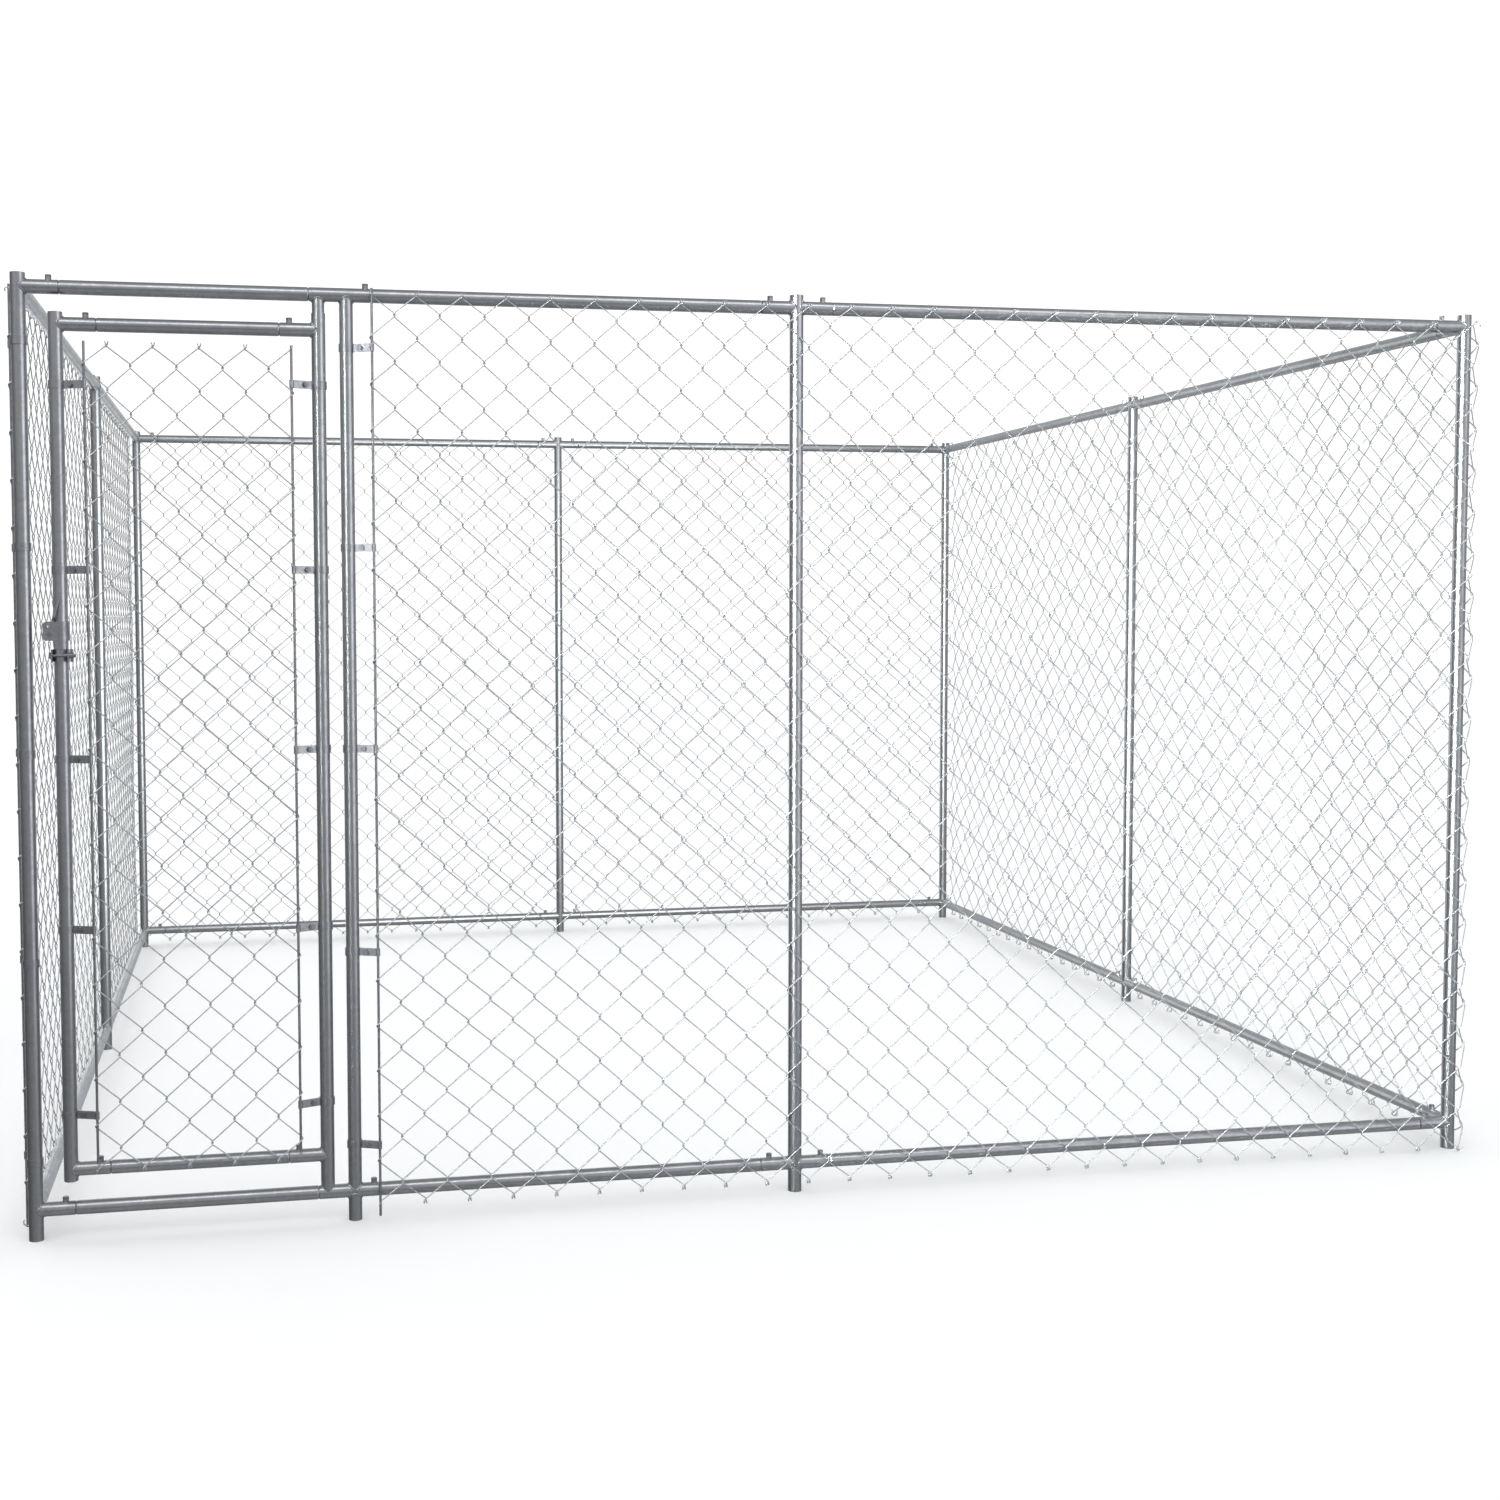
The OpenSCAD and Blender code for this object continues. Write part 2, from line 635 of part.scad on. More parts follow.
module latch_fork() {
  color(steel) at_latch() translate([-pivot_reach, 0, 0]) rotate([0, fork_raise - 180, 0]) difference() {
    union() {
      rotate([90, 0, 0]) translate([0, 0, -hub_half]) cylinder(r = hub_r, h = 2 * hub_half);
      prong();
      mirror([0, 1, 0]) prong();
    }
    rotate([90, 0, 0]) translate([0, 0, -hub_half - past])
      cylinder(r = pivot_d / 2 + pivot_play, h = 2 * (hub_half + past));
  }
}

module latch_clamp() {
  color(bolt_grey) at_latch() difference() {
    translate([0, 0, clamp_top - clamp_h]) linear_extrude(clamp_h) rotate(90) folded(clamp_reach);
    translate([-plate_out - past, clamp_bolt_y, clamp_mid]) rotate([0, 90, 0])
      cylinder(r = bolt_r + bolt_play, h = 2 * (plate_out + past));
  }
}

module latch_bolt() {
  color(bolt_grey) at_latch() translate([0, clamp_bolt_y, clamp_mid]) rotate([0, 90, 0]) {
    translate([0, 0, -plate_out - head_h]) hex(head_h);
    translate([0, 0, -plate_out - past])
      cylinder(r = bolt_r, h = 2 * plate_out + wing_hub + bolt_tail + past);
  }
}

module latch_wing_nut() {
  color(bolt_grey) at_latch() translate([plate_out, clamp_bolt_y, clamp_mid]) difference() {
    union() {
      rotate([0, 90, 0]) cylinder(r1 = bolt_flats / 2 + past, r2 = bolt_r + past, h = wing_hub);
      translate([(wing_hub - wing_w) / 2, -plate_t / 2, -wing_span / 2])
        cube([wing_w, plate_t, wing_span]);
    }
    translate([-past, 0, 0]) rotate([0, 90, 0]) cylinder(r = bolt_r + bolt_play, h = wing_hub + 2 * past);
  }
}

post_front_left();
post_front_mid();
post_front_right();
post_right_mid();
post_back_right();
post_back_mid();
post_back_left();
post_left_mid();
hinge_post();
rail_header();
rail_threshold();
rail_front_top_1();
rail_front_top_2();
rail_front_low_1();
rail_front_low_2();
rail_right_top_1();
rail_right_top_2();
rail_right_low_1();
rail_right_low_2();
rail_back_top_1();
rail_back_top_2();
rail_back_low_1();
rail_back_low_2();
rail_left_top_1();
rail_left_top_2();
rail_left_low_1();
rail_left_low_2();
set_bolts();
net_front();
net_right();
net_back_side();
net_left();
rod_front();
rod_left();
bands_front();
bands_left();
band_bolts();
gate_stile_latch();
gate_stile_hinge();
gate_rail_top();
gate_rail_low();
gate_bolts();
gate_net();
gate_rod_latch();
gate_rod_hinge();
gate_bands_latch();
gate_bands_hinge();
gate_band_bolts();
latch_plate();
latch_pin();
latch_fork();
latch_clamp();
latch_bolt();
latch_wing_nut();
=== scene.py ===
"""Dresses a chain-link dog kennel run.

It finishes the steel, weaves the netting, lays the welds and sets the stage.
"""

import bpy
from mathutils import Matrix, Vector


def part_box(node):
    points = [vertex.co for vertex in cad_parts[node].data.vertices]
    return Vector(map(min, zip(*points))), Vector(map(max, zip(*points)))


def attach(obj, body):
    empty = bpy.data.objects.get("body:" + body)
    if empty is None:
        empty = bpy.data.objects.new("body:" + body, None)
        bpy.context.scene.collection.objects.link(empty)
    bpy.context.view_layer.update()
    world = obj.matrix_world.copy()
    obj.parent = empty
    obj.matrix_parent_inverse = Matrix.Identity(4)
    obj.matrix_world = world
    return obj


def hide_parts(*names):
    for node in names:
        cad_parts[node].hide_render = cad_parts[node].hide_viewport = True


bl_info = {
    "name": "Chain-link kennel run",
    "version": (1, 0, 0),
    "blender": (4, 5, 0),
    "location": "3D View > Sidebar > Kennel",
    "description": "Weaves the netting of a dog kennel run over its tube frame, and finishes its steel",
    "category": "Object",
}

import math

import bmesh
import bpy
import numpy as np
from bpy.props import FloatProperty, FloatVectorProperty, IntProperty, PointerProperty
from mathutils import Matrix, Vector

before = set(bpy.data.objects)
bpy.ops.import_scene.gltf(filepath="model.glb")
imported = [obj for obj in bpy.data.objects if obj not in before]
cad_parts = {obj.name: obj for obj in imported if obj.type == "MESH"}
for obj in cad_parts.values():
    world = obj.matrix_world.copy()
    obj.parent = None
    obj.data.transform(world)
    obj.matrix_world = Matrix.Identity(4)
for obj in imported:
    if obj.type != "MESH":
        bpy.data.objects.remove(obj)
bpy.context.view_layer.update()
MM = 0.001
PHOTO_SIDE = 1500

# sizes of the part that no box of the frame gives by itself
STILE_TO_ROD = 52 * MM
POST_TO_ROD = 48 * MM
HALF_DIAMOND = 44 * MM
GATE_WIRES = 9
HINGE_POST_R = 13.25 * MM
SPIGOT_R = 12 * MM
STILE_R = 13.5 * MM
GATE_SOCKET_R = 13.2 * MM


def linear(code):
    """Turns an sRGB hex value into linear red, green, blue and alpha, by the numbers of the sRGB standard."""
    parts = [int(code[i:i + 2], 16) / 255 for i in (0, 2, 4)]
    return tuple(c / 12.92 if c <= 0.04045 else ((c + 0.055) / 1.055) ** 2.4 for c in parts) + (1.0,)


def middle(node):
    """The middle of a CAD node's box."""
    low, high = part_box(node)
    return (low + high) / 2


def half_size(node, axis):
    """Half of a CAD node's size along an axis, which is the radius of a tube or rod that lies across it."""
    low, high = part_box(node)
    return (getattr(high, axis) - getattr(low, axis)) / 2


# axes of the posts, rails and stiles, radii of the tubes and rods, and reach of the nets, read from the frame
FRONT = middle("post_front_mid").y
BACK = middle("post_back_mid").y
LEFT = middle("post_left_mid").x
RIGHT = middle("post_right_mid").x
POST_R = half_size("post_front_mid", "y")
RAIL_R = half_size("rail_header", "z")
ROD_R = half_size("rod_front", "x")
TOP_RAIL = middle("rail_header").z
LOW_RAIL = middle("rail_threshold").z
GATE_TOP = middle("gate_rail_top").z
GATE_LOW = middle("gate_rail_low").z
LATCH_STILE = middle("gate_rod_latch").x - STILE_TO_ROD
HINGE_STILE = middle("gate_rod_hinge").x + STILE_TO_ROD
HINGE_POST = middle("rod_front").x - POST_TO_ROD
NET_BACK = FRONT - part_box("net_front")[1].y
ROLL_LOW, ROLL_HIGH = (corner.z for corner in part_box("net_front"))
GATE_NET_LOW, GATE_NET_HIGH = (corner.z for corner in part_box("gate_net"))


class KennelNetting(bpy.types.PropertyGroup):
    """Sizes of the chain-link netting"""
    wire: FloatProperty(name="Wire", description="Thickness of the netting wire", default=2.5 * MM,
                        unit="LENGTH", precision=4)
    layer: FloatProperty(name="Layers", description="From the middle of the outer legs to the inner ones",
                         default=4.6 * MM, unit="LENGTH", precision=4)
    lap: FloatProperty(name="Lap", description="How far a bend reaches past its line of hooks",
                       default=1.4 * MM, unit="LENGTH", precision=4)
    rise: FloatProperty(name="Bend rise", description="Height that a wire climbs while it turns over",
                        default=9 * MM, unit="LENGTH", precision=4)
    curl: FloatProperty(name="Knuckle", description="Radius of the curl at the tips of the outer legs",
                        default=4.8 * MM, unit="LENGTH", precision=4)
    corner: FloatProperty(name="Corner stand-off",
                          description="How far the netting stands off a corner post",
                          default=14 * MM, unit="LENGTH", precision=4)
    uneven: FloatProperty(name="Unevenness", description="How far the diamonds wander from their places",
                          default=2.4 * MM, unit="LENGTH", precision=4)
    rows: IntProperty(name="Rows", description="Half diamonds from tip to tip", default=40, min=2)
    gate_rows: IntProperty(name="Gate rows", description="Half diamonds from tip to tip of the gate",
                           default=35, min=2)
    sides: IntProperty(name="Wire sides", description="Flats round a wire", default=6, min=3)


class KennelFinish(bpy.types.PropertyGroup):
    """Colours of the steel"""
    tube: FloatVectorProperty(name="Tube", description="Galvanised tube",
                              subtype="COLOR", size=4, default=linear("C2C3C6"), min=0, max=1)
    tube_dull: FloatVectorProperty(name="Dull tube", description="Duller patches of the zinc on a tube",
                                   subtype="COLOR", size=4, default=linear("AEAFB4"), min=0, max=1)
    wire: FloatVectorProperty(name="Wire", description="Galvanised wire",
                              subtype="COLOR", size=4, default=linear("D6D8DA"), min=0, max=1)
    wire_dull: FloatVectorProperty(name="Dull wire", description="Duller lengths of the wire",
                                   subtype="COLOR", size=4, default=linear("B4B6B9"), min=0, max=1)
    rod: FloatVectorProperty(name="Rod", description="Galvanised rods at the ends of the netting",
                             subtype="COLOR", size=4, default=linear("A9ABAD"), min=0, max=1)
    rod_dull: FloatVectorProperty(name="Dull rod", description="Duller lengths of the rods",
                                  subtype="COLOR", size=4, default=linear("8E9093"), min=0, max=1)
    fitting: FloatVectorProperty(name="Fitting", description="Zinc-plated fittings",
                                 subtype="COLOR", size=4, default=linear("BABBC0"), min=0, max=1)
    fitting_dull: FloatVectorProperty(name="Dull fitting", description="Duller patches of the plating",
                                      subtype="COLOR", size=4, default=linear("A2A3A9"), min=0, max=1)
    bolt: FloatVectorProperty(name="Bolt", description="Plated bolts and nuts",
                              subtype="COLOR", size=4, default=linear("A4A4AA"), min=0, max=1)
    bolt_dull: FloatVectorProperty(name="Dull bolt", description="Duller patches of bolts and nuts",
                                   subtype="COLOR", size=4, default=linear("84848A"), min=0, max=1)


class KennelStage(bpy.types.PropertyGroup):
    """Floor and camera"""
    floor: FloatVectorProperty(name="Floor", description="Pale floor",
                               subtype="COLOR", size=4, default=linear("FBFCFD"), min=0, max=1)
    floor_shade: FloatVectorProperty(name="Floor shade", description="Faint cloud in the floor",
                                     subtype="COLOR", size=4, default=linear("F8FAFC"), min=0, max=1)
    eye: FloatVectorProperty(name="Camera", description="Where the camera stands", subtype="TRANSLATION",
                             size=3, unit="LENGTH", default=(-1.0534, -4.9872, 1.2023))
    yaw: FloatProperty(name="Yaw", description="Turn of the camera to the right", subtype="ANGLE",
                       default=math.radians(10.54))
    pitch: FloatProperty(name="Pitch", description="Tilt of the camera downwards", subtype="ANGLE",
                         default=math.radians(2.953))
    roll: FloatProperty(name="Roll", description="Roll of the camera", subtype="ANGLE",
                        default=math.radians(-0.201))
    focal: FloatProperty(name="Focal length", description="Focal length in pixels of the image",
                         subtype="PIXEL", default=1776.7)
    centre: FloatVectorProperty(name="Optical centre",
                                description="Pixel of the image that the lens looks at",
                                size=2, default=(600, 700))


# small tools


def add(tree, kind, settings=None, **inputs):
    """Adds a node with its settings.

    An input goes by its name, or by its number with a mark before it, as _2. It takes a value or the output
    of another node. A Mix node has its factor at 0, its numbers at 2 and 3 and its colours at 6 and 7.
    """
    node = tree.nodes.new(kind)
    for name, value in (settings or {}).items():
        setattr(node, name, value)
    for name, value in inputs.items():
        socket = node.inputs[int(name[1:]) if name[1:].isdigit() else name.replace("_", " ")]
        if isinstance(value, bpy.types.NodeSocket):
            tree.links.new(value, socket)
        else:
            socket.default_value = value
    return node


def new_material(name):
    """An empty node material with its shader and output joined."""
    material = bpy.data.materials.new(name)
    material.use_nodes = True
    tree = material.node_tree
    tree.nodes.clear()
    shader = add(tree, "ShaderNodeBsdfPrincipled")
    add(tree, "ShaderNodeOutputMaterial", Surface=shader.outputs["BSDF"])
    return material, tree, shader


# zinc: how many crystals wide its clouds are, and the shares of crystals and of drawing lines in its mottle
CLOUD_CRYSTALS = 11
CRYSTAL_SHARE = 0.35
LINE_SHARE = 0.3
# how much rougher the dull patches are than the plain zinc, and how much smoother the bright ones
ROUGHER = 0.04
SMOOTHER = 0.03


def steel(name, bright, dull, roughness, spangle, streak, grain, bump, metallic=1.0):
    """Zinc on steel: crystals, clouds of duller zinc, and drawing lines along the grain.

    The zinc gives the eye a soft grey sheen that is mottled, never a mirror, and a long highlight along a
    tube. spangle and streak are the widths of a crystal and of a drawing line in metres. Real drawing lines
    are far finer, so they are drawn as coarse as they need to be to show.
    """
    material, tree, shader = new_material(name)
    place = add(tree, "ShaderNodeTexCoord").outputs["Object"]
    drawn = add(tree, "ShaderNodeMapping", Vector=place, Scale=grain).outputs["Vector"]
    crystals = add(tree, "ShaderNodeTexVoronoi", Vector=place, Scale=1 / spangle, Randomness=1.0)
    clouds = add(tree, "ShaderNodeTexNoise", Vector=place, Scale=1 / (spangle * CLOUD_CRYSTALS),
                 Detail=3.0, Roughness=0.6)
    lines = add(tree, "ShaderNodeTexNoise", Vector=drawn, Scale=1 / streak, Detail=2.0, Roughness=0.5)
    mottle = add(tree, "ShaderNodeMix", {"data_type": "FLOAT"}, _0=CRYSTAL_SHARE, _2=clouds.outputs[0],
                 _3=crystals.outputs["Color"])
    shade = add(tree, "ShaderNodeMix", {"data_type": "FLOAT"}, _0=LINE_SHARE, _2=mottle.outputs[0],
                _3=lines.outputs[0])
    patches = add(tree, "ShaderNodeMapRange", Value=shade.outputs[0], From_Min=0.34, From_Max=0.62)
    colour = add(tree, "ShaderNodeMix", {"data_type": "RGBA"}, _0=patches.outputs[0], _6=dull, _7=bright)
    rough = add(tree, "ShaderNodeMapRange", Value=mottle.outputs[0], From_Min=0.3, From_Max=0.7,
                To_Min=roughness + ROUGHER, To_Max=roughness - SMOOTHER)
    relief = add(tree, "ShaderNodeBump", Height=mottle.outputs[0], Strength=0.03, Distance=bump)
    tree.links.new(colour.outputs[2], shader.inputs["Base Color"])
    tree.links.new(rough.outputs[0], shader.inputs["Roughness"])
    tree.links.new(relief.outputs[0], shader.inputs["Normal"])
    shader.inputs["Metallic"].default_value = metallic
    return material


def wear(name, material):
    """Puts a material on a CAD node in place of its plain one."""
    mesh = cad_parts[name].data
    mesh.materials.clear()
    mesh.materials.append(material)


def sweep(bm, path, radius, sides):
    """Draws a round wire along a path: a disc is extruded from point to point and turned with the path."""
    steps = [(b - a).normalized() for a, b in zip(path, path[1:])]
    headings = [steps[0]] + [(a + b).normalized() for a, b in zip(steps, steps[1:])] + [steps[-1]]
    ring = bmesh.ops.create_circle(bm, cap_ends=True, radius=radius, segments=sides)["verts"]
    turn = Vector((0, 0, 1)).rotation_difference(headings[0]).to_matrix().to_4x4()
    bmesh.ops.transform(bm, matrix=Matrix.Translation(path[0]) @ turn, verts=ring)
    disc = ring[0].link_faces[0]
    first_edges = list(disc.edges)
    for k in range(1, len(path)):
        disc = bmesh.ops.extrude_discrete_faces(bm, faces=[disc])["faces"][0]
        turn = headings[k - 1].rotation_difference(headings[k]).to_matrix().to_4x4()
        move = Matrix.Translation(path[k]) @ turn @ Matrix.Translation(-path[k - 1])
        bmesh.ops.transform(bm, matrix=move, verts=list(disc.verts))
    # the first disc went with the first step, so its end is closed again
    bmesh.ops.contextual_create(bm, geom=first_edges)


def piece(name, bm, material, body):
    """Makes a finished piece of a bmesh: smooth, faces outwards, riding on its body."""
    bmesh.ops.recalc_face_normals(bm, faces=bm.faces)
    mesh = bpy.data.meshes.new(name)
    bm.to_mesh(mesh)
    bm.free()
    mesh.shade_smooth()
    mesh.materials.append(material)
    made = bpy.data.objects.new(name, mesh)
    bpy.context.scene.collection.objects.link(made)
    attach(made, body)
    return made


# netting

# a tip: how far it stands aside of its line in wires, the lean of its curl, and its angles in degrees
TIP_ASIDE = 0.55
TIP_LEAN = 0.25
TIP_ANGLES = (215, 180, 145, 110, 75, 40, 0)
# steps of a bend in its neighbour and of one round a rod, and the room between a wire and the rod
HOOK_STEPS = 4
ROD_STEPS = 6
ROD_ROOM = 0.1 * MM
# metres along a side in which the netting comes back from its stand-off at a corner post
CORNER_FADE = 0.04
# the wander: metres beside a rod without any, metres in which it grows, and metres in which its rise and
# fall fade towards the upper and the lower edge
STILL_WAY = 0.02
EASE_WAY = 0.25
EDGE_WAY = 0.12
# waves of the wander along the roll, up it and out of it: radians a metre along and up, start and share
WAVES_ALONG = ((1.7, 3.1, 0.0, 1.0), (-4.1, 7.3, 1.0, 0.7))
WAVES_UP = ((2.3, 2.9, 0.5, 1.0), (8.9, -3.7, 0.0, 0.6))
WAVES_OUT = ((2.7, 4.3, 2.0, 1.0),)
# where on those waves the gate's own netting starts, in metres
GATE_WAVES = 0.3
# lift of the roll's foot at the hinge post, the first corner, a way past it, the second corner and the end
FOOT_LIFT = (21 * MM, -7 * MM, 3 * MM, 4 * MM, 2 * MM)
PAST_CORNER = 0.7


def net_out(net):
    """From the axes of the posts out to the middle of the netting, which lies just clear of the posts."""
    return NET_BACK + net.wire / 2 + net.layer / 2


def half_turn(count):
    """Angles from 0 to half a turn."""
    return [math.pi * k / count for k in range(count + 1)]


def tip(net, side, outer, line, foot, up):
    """The knuckled end of a wire: past its line it curls outwards, round the end of its neighbour."""
    radius = net.curl if outer else net.curl + net.layer / 2
    w = net.layer / 2 if outer else -net.layer / 2
    u = line + side * TIP_ASIDE * net.wire
    z = foot + up * (radius + net.wire / 2)
    slope = -side * TIP_LEAN
    return [Vector((u - slope * radius * math.sin(a), w + radius * (1 - math.cos(a)),
                    z - up * radius * math.sin(a))) for a in map(math.radians, TIP_ANGLES)]


def picket(net, low, high, rows, width, phase, left_rod=None, right_rod=None):
    """The middle line of one wire of the netting, in its own width, from its lower tip to its upper one.

    Its legs climb to the right in the outer layer and to the left in the inner one, and it turns over at both
    lines of hooks, where it passes through the bends of its neighbours or round a rod.
    """
    row = (high - low) / rows
    path = []
    for j in range(rows + 1):
        at_left = (j + phase) % 2 == 0
        line = 0 if at_left else width
        side = -1 if at_left else 1
        rod = left_rod if at_left else right_rod
        if j == 0:
            path += tip(net, side, at_left, line, low, 1)
        elif j == rows:
            path += reversed(tip(net, side, not at_left, line, high, -1))
        else:
            radius = net.layer / 2 if rod is None else ROD_R + net.wire / 2 + ROD_ROOM
            u = line + side * (net.lap - net.layer / 2) if rod is None else line
            w = 0 if rod is None else rod
            for a in half_turn(HOOK_STEPS if rod is None else ROD_STEPS):
                path.append(Vector((u + side * radius * math.sin(a), w + side * radius * math.cos(a),
                                    low + j * row + net.rise * (a / math.pi - 0.5))))
    return path


def woven(net, path):
    """One wire as a mesh of its own, to be set in place again and again."""
    bm = bmesh.new()
    sweep(bm, path, net.wire / 2, net.sides)
    mesh = bpy.data.meshes.new("picket")
    bm.to_mesh(mesh)
    bm.free()
    return mesh


def weave(lines, wires, width):
    """Sets each wire between two lines of hooks, which are points on plan, so it hooks in the one before."""
    bm = bmesh.new()
    for a, b, mesh in zip(lines, lines[1:], wires):
        bm.from_mesh(mesh)
        bm.verts.ensure_lookup_table()
        along = (b - a) / width
        out = Vector((along.y, -along.x)).normalized()
        seat = Matrix(((along.x, out.x, 0, a.x), (along.y, out.y, 0, a.y), (0, 0, 1, 0), (0, 0, 0, 1)))
        bmesh.ops.transform(bm, matrix=seat, verts=bm.verts[-len(mesh.vertices):])
    return bm


def stand_off(net, s):
    """How far out the netting runs at a way s from the axis of a corner post."""
    return net_out(net) + net.corner * math.exp(-abs(s) / CORNER_FADE)


def side_lines(net, start, along, length, corner_start, corner_end):
    """The lines of hooks of one side, on plan: evenly spaced, and standing off the corner posts."""
    out = Vector((along.y, -along.x))
    count = round(length / HALF_DIAMOND)
    lines = []
    for k in range(count + 1):
        s = length * k / count
        near = s if corner_start else length
        far = length - s if corner_end else length
        lines.append(start + along * s + out * stand_off(net, min(near, far)))
    return lines


def waves(rows, t, z):
    """The sum of waves at a way t along the roll and a height z."""
    return sum(share * np.sin(along * t + up * z + start) for along, up, start, share in rows)


def wander(mesh, uneven, start, along, length, rolled, free_start, free_end, foot=None):
    """Moves the netting a little off its even places, as a roll pulled tight by hand is, and tilts its foot.

    rolled is the way along the roll to its start. An end that isn't free stays straight at its rod.
    """
    co = np.empty(len(mesh.vertices) * 3)
    mesh.vertices.foreach_get("co", co)
    co = co.reshape(-1, 3)
    s = (co[:, :2] - np.array(start)) @ np.array(along)
    z = co[:, 2]
    t = s + rolled
    hold = np.ones(len(co))
    if not free_start:
        hold *= np.clip((s - STILL_WAY) / EASE_WAY, 0, 1)
    if not free_end:
        hold *= np.clip((length - STILL_WAY - s) / EASE_WAY, 0, 1)
    belly = np.sin(np.pi * np.clip(z / ROLL_HIGH, 0, 1))
    edge = np.clip(np.minimum(z - ROLL_LOW, ROLL_HIGH - z) / EDGE_WAY, 0, 1)
    du = uneven * hold * waves(WAVES_ALONG, t, z)
    dz = uneven * hold * waves(WAVES_UP, t, z) * edge
    dw = uneven * hold * (1 + waves(WAVES_OUT, t, z)) * belly
    if foot:
        dz += np.interp(t, *foot) * np.clip(1 - (z - ROLL_LOW) / (ROLL_HIGH - ROLL_LOW), 0, 1)
    co[:, :2] += np.outer(du, np.array(along)) + np.outer(dw, np.array((along.y, -along.x)))
    co[:, 2] += dz
    mesh.vertices.foreach_set("co", co.ravel())
    mesh.update()


class KENNEL_OT_weave_roll(bpy.types.Operator):
    """Weave the roll of netting that runs round the four sides from the hinge post to the gate corner"""
    bl_idname = "kennel.weave_roll"
    bl_label = "Weave roll"

    def execute(self, context):
        net = context.scene.kennel_netting
        material = bpy.data.materials["Galvanised wire"]
        front_rod, left_rod = middle("rod_front"), middle("rod_left")
        size = (net, ROLL_LOW, ROLL_HIGH, net.rows, HALF_DIAMOND)
        plain = [woven(net, picket(*size, phase)) for phase in (0, 1)]
        x, y = Vector((1, 0)), Vector((0, 1))
        sides = (("front", Vector((front_rod.x, FRONT)), x, RIGHT - front_rod.x),
                 ("right", Vector((RIGHT, FRONT)), y, BACK - FRONT),
                 ("back_side", Vector((RIGHT, BACK)), -x, RIGHT - LEFT),
                 ("left", Vector((LEFT, BACK)), -y, BACK - left_rod.y))
        lengths = [side[-1] for side in sides]
        foot = ((0, lengths[0], lengths[0] + PAST_CORNER, lengths[0] + lengths[1], sum(lengths)), FOOT_LIFT)
        laid = 0
        rolled = 0.0
        bend = []
        for name, start, along, length in sides:
            free = (name != "front", name != "left")
            # a wire goes round each corner, from the last line of one side to the first of the next
            lines = bend + side_lines(net, start, along, length, *free)
            bend = lines[-1:]
            wires = [plain[(laid + i) % 2] for i in range(len(lines) - 1)]
            laid += len(wires)
            if name == "front":
                wires[0] = woven(net, picket(*size, 0, left_rod=FRONT - net_out(net) - front_rod.y))
            if name == "left":
                phase = (laid - 1) % 2
                wires[-1] = woven(net, picket(*size, phase, right_rod=LEFT - net_out(net) - left_rod.x))
            made = piece("netting_" + name, weave(lines, wires, HALF_DIAMOND), material, "frame")
            wander(made.data, net.uneven, start, along, length, rolled, *free, foot)
            rolled += length
            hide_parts("net_" + name)
        return {"FINISHED"}


class KENNEL_OT_weave_gate(bpy.types.Operator):
    """Weave the netting of the gate between its two rods"""
    bl_idname = "kennel.weave_gate"
    bl_label = "Weave gate"

    def execute(self, context):
        net = context.scene.kennel_netting
        material = bpy.data.materials["Galvanised wire"]
        latch_rod, hinge_rod = middle("gate_rod_latch"), middle("gate_rod_hinge")
        length = hinge_rod.x - latch_rod.x
        width = length / GATE_WIRES
        rod_out = FRONT - net_out(net) - latch_rod.y
        size = (net, GATE_NET_LOW, GATE_NET_HIGH, net.gate_rows, width)
        plain = [woven(net, picket(*size, phase)) for phase in (0, 1)]
        wires = [plain[i % 2] for i in range(GATE_WIRES)]
        wires[0] = woven(net, picket(*size, 0, left_rod=rod_out))
        wires[-1] = woven(net, picket(*size, (GATE_WIRES - 1) % 2, right_rod=rod_out))
        start = Vector((latch_rod.x, FRONT - net_out(net)))
        along = Vector((1, 0))
        lines = [start + along * width * k for k in range(GATE_WIRES + 1)]
        made = piece("netting_gate", weave(lines, wires, width), material, "gate")
        wander(made.data, net.uneven, start, along, length, GATE_WAVES, False, False)
        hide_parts("gate_net")
        return {"FINISHED"}


# welds

# a bead: its radius, the flats round it and the steps along it
BEAD_R = 1.7 * MM
BEAD_SIDES = 6
BEAD_STEPS = 32
# ripples of a bead and their height for the branch's radius, and how far it stands out for its own radius
RIPPLES = 9
RIPPLE_HEIGHT = 0.03
BEAD_PROUD = 0.35


def saddle(tube, branch):
    """The line where a branch along +X meets an upright tube, just proud of both, as a closed path."""
    path = []
    for k in range(BEAD_STEPS + 1):
        a = 2 * math.pi * k / BEAD_STEPS
        y, z = branch * math.cos(a), branch * math.sin(a)
        x = math.sqrt(max(tube * tube - y * y, 0))
        swell = 1 + RIPPLE_HEIGHT * math.sin(RIPPLES * a)
        path.append(Vector((x + BEAD_R * BEAD_PROUD, y * swell, z * swell)))
    return path


def bead(bm, place, turn, tube, branch):
    """Lays one weld bead round a branch, which is turned from +X, and sets it in its place."""
    start = len(bm.verts)
    sweep(bm, saddle(tube, branch), BEAD_R, BEAD_SIDES)
    bm.verts.ensure_lookup_table()
    bmesh.ops.transform(bm, matrix=Matrix.Translation(place) @ turn, verts=bm.verts[start:])


